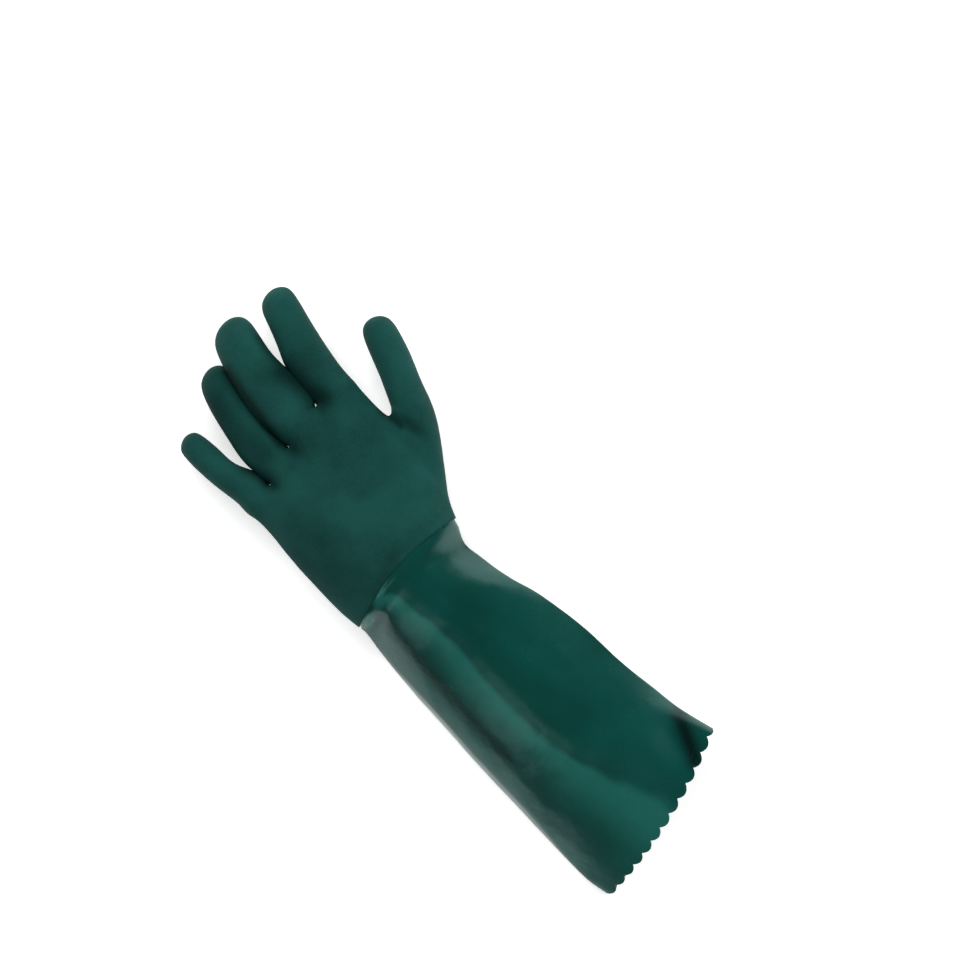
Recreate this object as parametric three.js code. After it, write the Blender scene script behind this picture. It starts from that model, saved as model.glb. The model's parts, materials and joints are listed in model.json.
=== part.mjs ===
// A long PVC-coated work glove for the left hand, lying palm down as it rests on a table.
// The rough-coated hand is one dipped shell with four fingers and a thumb. The smooth gauntlet
// sleeve is a second shell: its upper end is lapped inside the hand's wrist, and its cuff is
// pinked in scallops. Both are hollow and open, with real wall thicknesses.
//
// Millimetres. +Y runs from the cuff to the fingertips, +X to the thumb's side and +Z up from the
// surface that the glove lies on. The origin is under the middle of the whole glove.
import * as THREE from "three";

// Lengths and widths of the sleeve and the palm
const SLEEVE_LENGTH = 235.5; // edge of the hand's coating to the cuff, along the middle
const CUFF_WIDTH = 131.6;
const CUFF_DEPTH = 54;
const WRIST_WIDTH = 96.3;
const WRIST_DEPTH = 44;
const PALM_LENGTH = 120; // edge of the coating to the roots of the fingers, along the middle
const PALM_WIDTH = 123.5;
const PALM_DEPTH = 43;
const FINGER_LENGTH = 91; // the middle finger's, from its root to its tip
const FINGER_WIDTH = 35;
const FINGER_DEPTH = 28;

// Walls, and the lap where the sleeve's upper end sits inside the hand's wrist
const HAND_WALL = 1.4;
const RIM_WALL = 0.9; // the coating thins out at its edge
const SLEEVE_WALL = 1.1;
const LAP = 12;
const CLEARANCE = 0.3;
const RIM_BOW = 8; // how far the coating's edge curves towards the fingers in the middle
const CUFF_BOW = 5; // and how far the cuff's edge curves away from them

// The pinked edge of the cuff
const SCALLOPS = 26;
const SCALLOP_DEPTH = 3.4;
const SCALLOP_BAND = 7; // length of sleeve that the scallops are shaped over
const POINTS_PER_SCALLOP = 3;
const SLEEVE_SIDES = SCALLOPS * POINTS_PER_SCALLOP;

// Sections of the sleeve, from the coating's edge (along 0) to the cuff (along 1). flare goes from
// the wrist's sizes (0) to the cuff's (1). shift and slant are shares of the section's half width:
// how far its middle lies towards the thumb, and how far its thumb end runs towards the fingers.
// little, thumb and top are the heights of the two side edges and of the crest, as shares of the
// depth, and crest is where the crest lies across. crease is 1 on a round side and 2 on a sharp one.
// The long fold runs at valley, dip deep, and is steep on its near side and gentle on its far side.
const SLEEVE_SECTIONS = [
  { along: 0.0, flare: 0.147, shift: -0.034, slant: 0.134, little: 0.44, thumb: 0.44, top: 1.0,
    crest: 0.0, crease: 1.0, valley: -0.44, dip: 0.0, near: 0.07, far: 0.2 },
  { along: 0.05, flare: 0.0, shift: -0.121, slant: 0.04, little: 0.42, thumb: 0.42, top: 0.98,
    crest: 0.0, crease: 1.05, valley: -0.43, dip: 0.09, near: 0.07, far: 0.2 },
  { along: 0.1, flare: 0.062, shift: -0.096, slant: 0.02, little: 0.4, thumb: 0.4, top: 0.98,
    crest: 0.0, crease: 1.1, valley: -0.49, dip: 0.12, near: 0.08, far: 0.24 },
  { along: 0.19, flare: 0.218, shift: -0.038, slant: 0.0, little: 0.38, thumb: 0.38, top: 0.98,
    crest: 0.0, crease: 1.15, valley: -0.62, dip: 0.12, near: 0.09, far: 0.28 },
  { along: 0.31, flare: 0.467, shift: 0.046, slant: 0.06, little: 0.36, thumb: 0.36, top: 0.98,
    crest: 0.0, crease: 1.15, valley: -0.71, dip: 0.11, near: 0.1, far: 0.32 },
  { along: 0.46, flare: 0.669, shift: 0.111, slant: 0.045, little: 0.34, thumb: 0.34, top: 0.98,
    crest: 0.02, crease: 1.15, valley: -0.75, dip: 0.1, near: 0.1, far: 0.34 },
  { along: 0.62, flare: 0.759, shift: 0.15, slant: 0.08, little: 0.32, thumb: 0.34, top: 0.99,
    crest: 0.08, crease: 1.15, valley: -0.74, dip: 0.09, near: 0.12, far: 0.34 },
  { along: 0.76, flare: 0.856, shift: 0.202, slant: 0.17, little: 0.3, thumb: 0.36, top: 1.0,
    crest: 0.2, crease: 1.15, valley: -0.69, dip: 0.06, near: 0.14, far: 0.32 },
  { along: 0.875, flare: 0.935, shift: 0.242, slant: 0.24, little: 0.3, thumb: 0.4, top: 1.0,
    crest: 0.34, crease: 1.15, valley: -0.63, dip: 0.02, near: 0.16, far: 0.3 },
  { along: 0.945, flare: 1.0, shift: 0.281, slant: 0.305, little: 0.31, thumb: 0.45, top: 1.0,
    crest: 0.42, crease: 1.15, valley: -0.6, dip: 0.0, near: 0.16, far: 0.3 },
  { along: 1.0, flare: 1.0, shift: 0.342, slant: 0.335, little: 0.32, thumb: 0.5, top: 0.99,
    crest: 0.46, crease: 1.15, valley: -0.6, dip: 0.0, near: 0.16, far: 0.3 },
];

// Sections of the palm, from the coating's edge (along 0) to the roots of the fingers (along 1).
// spread goes from the wrist's sizes (0) to the palm's (1), side is the height of both side edges
// and floor that of the underside. fan goes from evenly spaced points across (0) to points that
// lie in line with the fingers (1).
const PALM_SECTIONS = [
  { along: 0.0, spread: 0.191, shift: -0.034, slant: 0.134, side: 0.44, top: 1.0, floor: 0.0, fan: 0.0 },
  { along: 0.15, spread: 0.504, shift: -0.009, slant: 0.08, side: 0.44, top: 1.0, floor: 0.0, fan: 0.2 },
  { along: 0.34, spread: 1.0, shift: 0.077, slant: 0.03, side: 0.44, top: 1.0, floor: 0.0, fan: 0.4 },
  { along: 0.54, spread: 0.982, shift: 0.068, slant: 0.03, side: 0.45, top: 1.0, floor: 0.0, fan: 0.6 },
  { along: 0.76, spread: 0.71, shift: 0.028, slant: 0.08, side: 0.48, top: 0.97, floor: 0.04, fan: 0.8 },
  { along: 0.91, spread: 0.68, shift: 0.0, slant: 0.16, side: 0.52, top: 0.92, floor: 0.1, fan: 1.0 },
];
const THUMB_SECTION = 2; // the thumb grows out of the side between this section and two further on

// Dents and swellings on the top of the sleeve: along and across say where, length and width how
// far they reach as shares of the sleeve's length and half width, and lift how high, as a share of
// the cuff's depth.
const SLEEVE_DENTS = [
  { along: 0.9, across: 0.72, length: 0.1, width: 0.2, lift: -0.13 },
  { along: 1.0, across: 0.98, length: 0.06, width: 0.12, lift: 0.06 },
  { along: 0.09, across: 0.72, length: 0.08, width: 0.2, lift: 0.05 },
];

// The fingers. middle is where the root lies across the palm, and littleRoot and thumbRoot how far
// along the palm the root's two sides are, in shares of the palm's half width and length. length,
// rootWidth, width and depth are shares of the middle finger's. lean is in degrees towards the
// thumb, bow the sideways curve, and rise, tip and arch are heights of the root, the tip and the
// curve between, as shares of the depth. Near its root a finger swells to meet its neighbours, by
// littleSwell and thumbSwell of its width on the two sides, and further on by swellOn of that.
const FINGERS = [
  { name: "little", middle: -0.76, littleRoot: 0.9, thumbRoot: 0.94, length: 0.747, lean: -10,
    bow: -0.06, rootWidth: 0.714, width: 0.614, depth: 0.786, rise: 1.0, tip: 0.56, arch: 0.1,
    littleSwell: 0, thumbSwell: 0.1, swellOn: 0 },
  { name: "ring", middle: -0.335, littleRoot: 0.95, thumbRoot: 1.03, length: 0.923, lean: 5.2,
    bow: -0.19, rootWidth: 0.771, width: 0.743, depth: 0.857, rise: 1.02, tip: 0.54, arch: 0.1,
    littleSwell: 0.02, thumbSwell: 0.03, swellOn: 0 },
  { name: "middle", middle: 0.15, littleRoot: 1.045, thumbRoot: 1.11, length: 1, lean: 5.2,
    bow: -0.13, rootWidth: 0.88, width: 1, depth: 1, rise: 0.94, tip: 0.56, arch: 0.2,
    littleSwell: 0, thumbSwell: 0.045, swellOn: 1 },
  { name: "index", middle: 0.7, littleRoot: 1.115, thumbRoot: 1.07, length: 0.945, lean: 8.7,
    bow: -0.09, rootWidth: 0.83, width: 0.829, depth: 0.929, rise: 0.96, tip: 0.54, arch: 0.14,
    littleSwell: 0.065, thumbSwell: 0, swellOn: 1 },
];
const THUMB = { middle: 1.23, root: 0.735, length: 0.769, lean: 17.2, bow: 0.04, width: 0.757,
  depth: 1, rise: 0.68, tip: 0.5, arch: 0.0, littleSwell: 0, thumbSwell: 0, swellOn: 0 };

// Sections of every finger: along the shaft from the root (0) to where the round tip starts (1),
// turned towards the thumb by some degrees, and then back from the tip, as a share of the width.
// The thumb's first section is a turned one across its thick base.
const SHAFT_SECTIONS = [
  { along: 0.2, girth: 1.0, turn: 0 },
  { along: 0.46, girth: 0.985, turn: 0 },
  { along: 0.74, girth: 0.975, turn: 0 },
  { along: 1.0, girth: 0.9, turn: 0 },
];
const THUMB_BASE_SECTION = { along: -0.07, girth: 1.24, turn: 36 };
const TIP_SECTION = { back: 0.11, girth: 0.6, turn: 0 };
const TIP_START = 0.42; // where the round tip starts, as a share of the width

const mix = THREE.MathUtils.lerp;
const bell = (x) => Math.exp(-x * x);

// Every column of a table of rows at a place between them, as a smooth curve through the rows
function smoothRow(rows, key, at) {
  let i = 0;
  while (i < rows.length - 2 && at > rows[i + 1][key]) i++;
  const before = rows[Math.max(i - 1, 0)];
  const low = rows[i];
  const high = rows[i + 1];
  const after = rows[Math.min(i + 2, rows.length - 1)];
  const span = high[key] - low[key];
  const t = THREE.MathUtils.clamp((at - low[key]) / span, 0, 1);
  const made = {};
  for (const column of Object.keys(low)) {
    const startSlope = ((high[column] - before[column]) / (high[key] - before[key])) * span;
    const endSlope = ((after[column] - low[column]) / (after[key] - low[key])) * span;
    made[column] =
      (2 * t ** 3 - 3 * t ** 2 + 1) * low[column] +
      (t ** 3 - 2 * t ** 2 + t) * startSlope +
      (3 * t ** 2 - 2 * t ** 3) * high[column] +
      (t ** 3 - t ** 2) * endSlope;
  }
  return made;
}

// One cross-section of the glove's trunk in real sizes. The sleeve's and the palm's tables meet at
// the coating's edge, at y 0.
function sleeveStation(row) {
  const half = mix(WRIST_WIDTH, CUFF_WIDTH, row.flare) / 2;
  const depth = mix(WRIST_DEPTH, CUFF_DEPTH, row.flare);
  return {
    y: -row.along * SLEEVE_LENGTH,
    middle: row.shift * half,
    half,
    slant: row.slant,
    bow: RIM_BOW * bell(row.along * 8) - CUFF_BOW * bell((1 - row.along) * 6),
    little: row.little * depth,
    thumb: row.thumb * depth,
    top: row.top * depth,
    floor: 0,
    crest: row.crest,
    crease: row.crease,
    valley: row.valley,
    dip: row.dip * depth,
    near: row.near * half,
    far: row.far * half,
  };
}

function palmStation(row) {
  const half = mix(WRIST_WIDTH, PALM_WIDTH, row.spread) / 2;
  const depth = mix(WRIST_DEPTH, PALM_DEPTH, row.spread);
  return {
    y: row.along * PALM_LENGTH,
    middle: row.shift * half,
    half,
    slant: row.slant,
    bow: RIM_BOW * bell(row.along * 5),
    little: row.side * depth,
    thumb: row.side * depth,
    top: row.top * depth,
    floor: row.floor * depth,
    crest: 0,
    crease: 1,
    valley: 0,
    dip: 0,
    near: 1,
    far: 1,
  };
}

const sleeveStations = SLEEVE_SECTIONS.map(sleeveStation).reverse();

// The height of the folds and dents on the top of the sleeve, at a place across from -1 to 1
function foldHeight(station, across) {
  const fromValley = (across - station.valley) * station.half;
  let height = -station.dip * bell(fromValley / (fromValley < 0 ? station.near : station.far));
  for (const dent of SLEEVE_DENTS) {
    const alongShare = (-station.y / SLEEVE_LENGTH - dent.along) / dent.length;
    const acrossShare = (across - dent.across) / dent.width;
    height += dent.lift * CUFF_DEPTH * bell(alongShare) * bell(acrossShare);
  }
  return height;
}

// A point on the top or the underside of a section, across from its little-finger side to its
// thumb side
const FLATNESS = 1.12; // over 1, it flattens the underside where it rests
function sectionPoint(station, across, isTop) {
  const round = Math.sqrt(Math.max(0, 1 - across * across));
  const side = mix(station.little, station.thumb, (across + 1) / 2);
  const under = FLATNESS * Math.sqrt(Math.max(0, 1 - Math.abs(across) ** 3));
  let z = side - (side - station.floor) * Math.min(1, under);
  if (isTop) {
    const reach = across < station.crest ? 1 + station.crest : 1 - station.crest;
    const fromCrest = (across - station.crest) / reach;
    const arc = Math.max(0, 1 - fromCrest * fromCrest) ** (station.crease / 2);
    z = side + (station.top - side) * arc + foldHeight(station, across) * Math.sqrt(round);
  }
  return new THREE.Vector3(
    station.middle + station.half * across,
    station.y + station.slant * station.half * across + station.bow * (1.4 - across * across),
    z,
  );
}

// Points of a chain, spaced evenly along it: the first one and count - 1 more before its end
function evenly(chain, count) {
  const lengths = [0];
  for (let i = 1; i < chain.length; i++) lengths.push(lengths[i - 1] + chain[i].distanceTo(chain[i - 1]));
  const total = lengths[lengths.length - 1];
  const points = [];
  for (let k = 0, i = 1; k < count; k++) {
    const wanted = (total * k) / count;
    while (lengths[i] < wanted) i++;
    const share = (wanted - lengths[i - 1]) / (lengths[i] - lengths[i - 1]);
    points.push(chain[i - 1].clone().lerp(chain[i], share));
  }
  return points;
}

// A ring from the little-finger side over the top to the thumb side and back underneath
function ringOfHalves(top, under, count) {
  return [...evenly(top, count / 2), ...evenly([...under].reverse(), count / 2)];
}

const FINE_STEPS = 240;
function sleeveRing(y) {
  const station = smoothRow(sleeveStations, "y", y);
  const half = (isTop) =>
    Array.from({ length: FINE_STEPS + 1 }, (_, i) =>
      sectionPoint(station, -Math.cos((Math.PI * i) / FINE_STEPS), isTop),
    );
  return ringOfHalves(half(true), half(false), SLEEVE_SIDES);
}

// A mesh of four-sided faces that is drawn as a smooth surface, in the manner of Catmull and Clark
class Cage {
  constructor() {
    this.points = [];
    this.faces = [];
  }

  add(points) {
    return points.map((point) => this.points.push(point) - 1);
  }

  // Faces between two rings of equally many points, leaving out the ones at the places in gaps
  bridge(ring, next, gaps = []) {
    ring.forEach((a, j) => {
      const k = (j + 1) % ring.length;
      if (!gaps.includes(j)) this.faces.push([a, ring[k], next[k], next[j]]);
    });
  }

  // The edges and faces round every point
  neighbours() {
    const edges = new Map();
    const around = this.points.map(() => ({ near: new Set(), across: [], rim: [] }));
    this.faces.forEach((face, f) => {
      face.forEach((a, i) => {
        const b = face[(i + 1) % 4];
        around[a].near.add(b);
        around[a].near.add(face[(i + 3) % 4]);
        around[a].across.push(face[(i + 2) % 4]);
        const key = `${Math.min(a, b)},${Math.max(a, b)}`;
        if (!edges.has(key)) edges.set(key, { ends: [a, b], faces: [] });
        edges.get(key).faces.push(f);
      });
    });
    for (const { ends, faces } of edges.values()) {
      if (faces.length > 1) continue;
      around[ends[0]].rim.push(ends[1]);
      around[ends[1]].rim.push(ends[0]);
    }
    return { edges, around };
  }

  sum(indices) {
    return indices.reduce((total, i) => total.add(this.points[i]), new THREE.Vector3());
  }

  // Where every point lies on the smooth surface
  limit() {
    return this.neighbours().around.map(({ near, across, rim }, i) => {
      const point = this.points[i].clone();
      if (rim.length) return point.multiplyScalar(4).add(this.sum(rim)).divideScalar(6);
      const n = near.size;
      return point
        .multiplyScalar(n * n)
        .addScaledVector(this.sum([...near]), 4)
        .add(this.sum(across))
        .divideScalar(n * (n + 5));
    });
  }

  // Moves the points until the smooth surface passes through where they are now
  fit(rounds = 12) {
    const wanted = this.points.map((point) => point.clone());
    for (let round = 0; round < rounds; round++) {
      const reached = this.limit();
      this.points.forEach((point, i) => point.add(wanted[i]).sub(reached[i]));
    }
  }

  // The same surface with every face in four
  divided() {
    const { edges, around } = this.neighbours();
    const finer = new Cage();
    const middles = this.faces.map((face) => this.sum(face).divideScalar(4));
    this.points.forEach((point, i) => {
      const { near, across, rim } = around[i];
      if (rim.length) {
        finer.points.push(point.clone().multiplyScalar(6).add(this.sum(rim)).divideScalar(8));
        return;
      }
      const n = near.size;
      const moved = point.clone().multiplyScalar(n * n - 7 * n / 4);
      moved.addScaledVector(this.sum([...near]), 1.5).addScaledVector(this.sum(across), 0.25);
      finer.points.push(moved.divideScalar(n * n));
    });
    const middleAt = finer.points.length;
    finer.points.push(...middles);
    const edgeAt = new Map();
    for (const [key, { ends, faces }] of edges) {
      const point = this.sum(ends);
      if (faces.length > 1) {
        point.add(middles[faces[0]]).add(middles[faces[1]]).divideScalar(4);
      } else {
        point.divideScalar(2);
      }
      edgeAt.set(key, finer.points.push(point) - 1);
    }
    const between = (a, b) => edgeAt.get(`${Math.min(a, b)},${Math.max(a, b)}`);
    this.faces.forEach((face, f) => {
      face.forEach((a, i) => {
        finer.faces.push([a, between(a, face[(i + 1) % 4]), middleAt + f, between(face[(i + 3) % 4], a)]);
      });
    });
    return finer;
  }

  // The outward direction at every point
  normals() {
    const made = this.points.map(() => new THREE.Vector3());
    for (const face of this.faces) {
      const [a, b, c, d] = face.map((i) => this.points[i]);
      const normal = c.clone().sub(a).cross(d.clone().sub(b));
      for (const i of face) made[i].add(normal);
    }
    return made.map((normal) => normal.normalize());
  }
}

// One ring of eight points round a finger: from its little-finger side over the top
const RING_ANGLES = [135, 90, 45, 0, -45, -90, -135, 180].map(THREE.MathUtils.degToRad);
function fingerRing(centre, sideways, width, depth, littleSwell = 0, thumbSwell = 0) {
  return RING_ANGLES.map((angle) => {
    const across = Math.cos(angle);
    const swell = across < 0 ? littleSwell : thumbSwell;
    const point = centre.clone().addScaledVector(sideways, width * across * (0.5 + swell));
    point.z = Math.max(0, point.z + (depth / 2) * Math.sin(angle));
    return point;
  });
}

// A row of the finger table with its shares turned to real sizes
function sized(finger) {
  return {
    ...finger,
    length: finger.length * FINGER_LENGTH,
    rootWidth: finger.rootWidth * FINGER_WIDTH,
    width: finger.width * FINGER_WIDTH,
    depth: finger.depth * FINGER_DEPTH,
  };
}

// Adds a finger to the cage from its root ring, and closes its tip
function growFinger(cage, rootRing, root, finger, sections) {
  const heading = (degrees) => {
    const angle = THREE.MathUtils.degToRad(degrees);
    return new THREE.Vector3(Math.sin(angle), Math.cos(angle), 0);
  };
  const forward = heading(finger.lean);
  const sideways = heading(finger.lean + 90);
  const shaft = 1 - (TIP_START * finger.width) / finger.length;
  const centre = (t) =>
    root
      .clone()
      .addScaledVector(forward, finger.length * t)
      .addScaledVector(sideways, finger.bow * finger.width * 4 * t * (1 - t))
      .setZ(finger.depth * (mix(finger.rise, finger.tip, t) + finger.arch * 4 * t * (1 - t)));
  const places = sections.map((row) => ({ ...row, t: row.along * shaft }));
  places.push({ ...TIP_SECTION, t: 1 - (TIP_SECTION.back * finger.width) / finger.length });
  let ring = rootRing;
  places.forEach(({ t, girth, turn }, i) => {
    const across = heading(finger.lean + turn + 90);
    const swell = [1, finger.swellOn][i] ?? 0;
    const sides = [finger.littleSwell * swell, finger.thumbSwell * swell];
    const next = cage.add(
      fingerRing(centre(t), across, finger.width * girth, finger.depth * girth, ...sides),
    );
    cage.bridge(ring, next);
    ring = next;
  });
  const [tip] = cage.add([centre(1)]);
  for (let j = 0; j < 8; j += 2) cage.faces.push([ring[j], ring[j + 1], tip, ring[(j + 7) % 8]]);
}

// The hand's cage. A palm ring has twelve points over the top, three for each finger, one on the
// thumb side, twelve underneath and one on the little-finger side.
const COLUMNS = FINGERS.length * 3;
function handCage() {
  const cage = new Cage();
  const half = PALM_WIDTH / 2;
  const fingers = FINGERS.map(sized);
  const columnOf = (k) => {
    const finger = fingers[Math.floor(k / 3)];
    return finger.middle + ((k % 3) - 1) * ((Math.SQRT1_2 * finger.rootWidth) / 2 / half);
  };
  const rings = PALM_SECTIONS.map((row) => {
    const station = palmStation(row);
    const across = (k) => {
      const even = -Math.cos((Math.PI * (k + 1)) / (COLUMNS + 1));
      const inLine = (columnOf(k) * half - station.middle) / station.half;
      return mix(even, inLine, row.fan);
    };
    const columns = Array.from({ length: COLUMNS }, (_, k) => across(k));
    return cage.add([
      ...columns.map((c) => sectionPoint(station, c, true)),
      sectionPoint(station, 1, true),
      ...columns.reverse().map((c) => sectionPoint(station, c, false)),
      sectionPoint(station, -1, true),
    ]);
  });
  const onThumbSide = [COLUMNS - 1, COLUMNS];
  for (let i = 0; i < rings.length - 1; i++) {
    const isThumb = i === THUMB_SECTION || i === THUMB_SECTION + 1;
    cage.bridge(rings[i], rings[i + 1], isThumb ? onThumbSide : []);
  }

  const roots = fingers.map((finger) => {
    const y = ((finger.littleRoot + finger.thumbRoot) / 2) * PALM_LENGTH;
    const root = new THREE.Vector3(finger.middle * half, y, finger.rise * finger.depth);
    const slope = ((finger.thumbRoot - finger.littleRoot) * PALM_LENGTH) / finger.rootWidth;
    const sideways = new THREE.Vector3(1, slope, 0);
    return { root, ring: cage.add(fingerRing(root, sideways, finger.rootWidth, finger.depth)) };
  });
  const tops = roots.flatMap(({ ring }) => ring.slice(0, 3));
  const unders = roots.flatMap(({ ring }) => [ring[6], ring[5], ring[4]]).reverse();
  const front = [...tops, roots[roots.length - 1].ring[3], ...unders, roots[0].ring[7]];
  cage.bridge(rings[rings.length - 1], front);
  for (let f = 0; f < roots.length - 1; f++) {
    const left = roots[f].ring;
    const right = roots[f + 1].ring;
    cage.faces.push([left[2], right[0], right[7], left[3]], [left[3], right[7], right[6], left[4]]);
  }
  fingers.forEach((finger, f) => growFinger(cage, roots[f].ring, roots[f].root, finger, SHAFT_SECTIONS));

  const [low, mid, high] = rings.slice(THUMB_SECTION);
  const top = COLUMNS - 1;
  const thumbRing = [high[top], mid[top], low[top], low[top + 1], low[top + 2]];
  thumbRing.push(mid[top + 2], high[top + 2], high[top + 1]);
  const thumbRoot = new THREE.Vector3(THUMB.middle * half, THUMB.root * PALM_LENGTH, 0);
  growFinger(cage, thumbRing, thumbRoot, sized(THUMB), [THUMB_BASE_SECTION, ...SHAFT_SECTIONS]);
  return withoutLoosePoints(cage);
}

// The middle point of the thumb's root belongs to no face
function withoutLoosePoints(cage) {
  const used = [...new Set(cage.faces.flat())].sort((a, b) => a - b);
  const place = new Map(used.map((old, i) => [old, i]));
  cage.points = used.map((i) => cage.points[i]);
  cage.faces = cage.faces.map((face) => face.map((i) => place.get(i)));
  return cage;
}

// The hand's outer and inner surfaces, on the same points
function handSurfaces() {
  const cage = handCage();
  cage.fit();
  const finer = cage.divided();
  finer.points = finer.limit();
  for (const point of finer.points) point.z = Math.max(0, point.z);
  const outwards = finer.normals();
  const { around } = finer.neighbours();
  const wall = finer.points.map((_, i) => (around[i].rim.length ? RIM_WALL : HAND_WALL));
  const inner = finer.points.map((point, i) => point.clone().addScaledVector(outwards[i], -wall[i]));
  return { outer: finer.points, inner, faces: finer.faces, around };
}

function geometryOf(positions, indices) {
  const flat = positions.flatMap((p) => [p.x, p.y, p.z]);
  const geometry = new THREE.BufferGeometry();
  geometry.setAttribute("position", new THREE.Float32BufferAttribute(flat, 3));
  geometry.setIndex(indices);
  geometry.computeVertexNormals();
  return geometry;
}

// The points of the coating's edge in order, from the little-finger side over the top
function rimOrder(surfaces) {
  const { outer, faces, around } = surfaces;
  const after = new Map();
  for (const face of faces) {
    face.forEach((a, i) => {
      const b = face[(i + 1) % 4];
      if (around[a].rim.includes(b)) after.set(a, b);
    });
  }
  const rim = [...after.keys()];
  let at = rim.reduce((best, i) => (outer[i].x < outer[best].x ? i : best), rim[0]);
  const order = [];
  for (let n = 0; n < rim.length; n++) {
    order.push(at);
    at = after.get(at);
  }
  return order;
}

function handGeometry(surfaces) {
  const { outer, inner, faces } = surfaces;
  const indices = [];
  const innerStart = outer.length;
  for (const [a, b, c, d] of faces) {
    indices.push(a, b, c, a, c, d);
    const [e, f, g, h] = [a, b, c, d].map((i) => i + innerStart);
    indices.push(e, g, f, e, h, g);
  }
  const rim = rimOrder(surfaces);
  rim.forEach((a, i) => {
    const b = rim[(i + 1) % rim.length];
    indices.push(b, a, innerStart + a, b, innerStart + a, innerStart + b);
  });
  return geometryOf([...outer, ...inner], indices);
}

// Rings of the sleeve that lie inside the hand's wrist, from the coating's edge to the lapped end
function lapRings(surfaces) {
  const { outer, inner, around, faces } = surfaces;
  const rim = rimOrder(surfaces);
  const facesOf = new Map();
  for (const face of faces) {
    face.forEach((a, i) => facesOf.set(`${a},${face[(i + 1) % 4]}`, face[(i + 3) % 4]));
  }
  const behind = rim.map((a, i) => facesOf.get(`${a},${rim[(i + 1) % rim.length]}`));
  const chain = (share) =>
    rim.map((a, i) => {
      const wall = new THREE.Vector3().subVectors(inner[a], outer[a]);
      const inward = wall.normalize().multiplyScalar(CLEARANCE);
      return inner[a].clone().lerp(inner[behind[i]], share).add(inward);
    });
  const reach = outer[rim[0]].distanceTo(outer[behind[0]]);
  return [0, 0.5, 1].map((share) => {
    const points = chain((share * LAP) / reach);
    const turn = points.length / 2;
    const top = points.slice(0, turn + 1);
    const under = [...points.slice(turn), points[0]].reverse();
    return ringOfHalves(top, under, SLEEVE_SIDES);
  });
}

// A grid of rings moved inwards along the surface's normals
function insetRings(rings, distance) {
  const last = rings.length - 1;
  return rings.map((ring, i) =>
    ring.map((point, j) => {
      const alongRing = new THREE.Vector3().subVectors(
        ring[(j + 1) % ring.length],
        ring[(j + ring.length - 1) % ring.length],
      );
      const alongTrunk = new THREE.Vector3().subVectors(
        rings[Math.min(i + 1, last)][j],
        rings[Math.max(i - 1, 0)][j],
      );
      const outwards = alongRing.cross(alongTrunk).normalize();
      return point.clone().addScaledVector(outwards, -distance);
    }),
  );
}

// A wall between an outer and an inner grid of rings, open at both ends
function openWall(outer, inner) {
  const count = outer[0].length;
  const rows = outer.length;
  const innerStart = rows * count;
  const indices = [];
  for (let i = 0; i < rows - 1; i++) {
    for (let j = 0; j < count; j++) {
      const a = i * count + j;
      const b = i * count + ((j + 1) % count);
      indices.push(a, b, a + count, b, b + count, a + count);
      const c = innerStart + a;
      const d = innerStart + b;
      indices.push(c, c + count, d, d, c + count, d + count);
    }
  }
  const end = (rows - 1) * count;
  for (let j = 0; j < count; j++) {
    const k = (j + 1) % count;
    indices.push(j, innerStart + j, k, k, innerStart + j, innerStart + k);
    indices.push(end + j, end + k, innerStart + end + j);
    indices.push(end + k, innerStart + end + k, innerStart + end + j);
  }
  return geometryOf([...outer.flat(), ...inner.flat()], indices);
}

// The sleeve: a wall from the cuff, where the first ring is shaped into scallops, to its lapped
// upper end inside the hand's wrist
const SLEEVE_RINGS = [0.93, 0.86, 0.76, 0.66, 0.56, 0.46, 0.36, 0.26, 0.18, 0.12, 0.08, 0.05];
function sleeveGeometry(surfaces) {
  const shares = [1, 1 - SCALLOP_BAND / SLEEVE_LENGTH, ...SLEEVE_RINGS];
  const rings = shares.map((share) => sleeveRing(-share * SLEEVE_LENGTH));
  const [cuff, before] = rings;
  cuff.forEach((point, j) => {
    const scallop = Math.sin((Math.PI * (j % POINTS_PER_SCALLOP)) / POINTS_PER_SCALLOP);
    const along = new THREE.Vector3().subVectors(point, before[j]).normalize();
    point.addScaledVector(along, SCALLOP_DEPTH * scallop);
  });
  const outer = [...rings, ...lapRings(surfaces)];
  return openWall(outer, insetRings(outer, SLEEVE_WALL));
}

const roughCoating = new THREE.MeshStandardMaterial({ color: 0x1d4f47, roughness: 0.78, metalness: 0 });
const smoothCoating = new THREE.MeshStandardMaterial({ color: 0x0f4a40, roughness: 0.28, metalness: 0 });

const surfaces = handSurfaces();
const hand = new THREE.Mesh(handGeometry(surfaces), roughCoating);
hand.name = "hand";
const sleeve = new THREE.Mesh(sleeveGeometry(surfaces), smoothCoating);
sleeve.name = "gauntlet_sleeve";

const glove = new THREE.Group();
glove.add(hand, sleeve);

// The glove's own frame has its origin under the middle of its box
const box = new THREE.Box3().setFromObject(glove);
const middle = box.getCenter(new THREE.Vector3());
glove.position.set(-middle.x, -middle.y, -box.min.z);

export default glove;
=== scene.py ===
import json
import math
from types import SimpleNamespace

import bmesh
import bpy
from bpy.props import FloatProperty, FloatVectorProperty, IntProperty, PointerProperty
from mathutils import Matrix, Vector, noise

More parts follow.
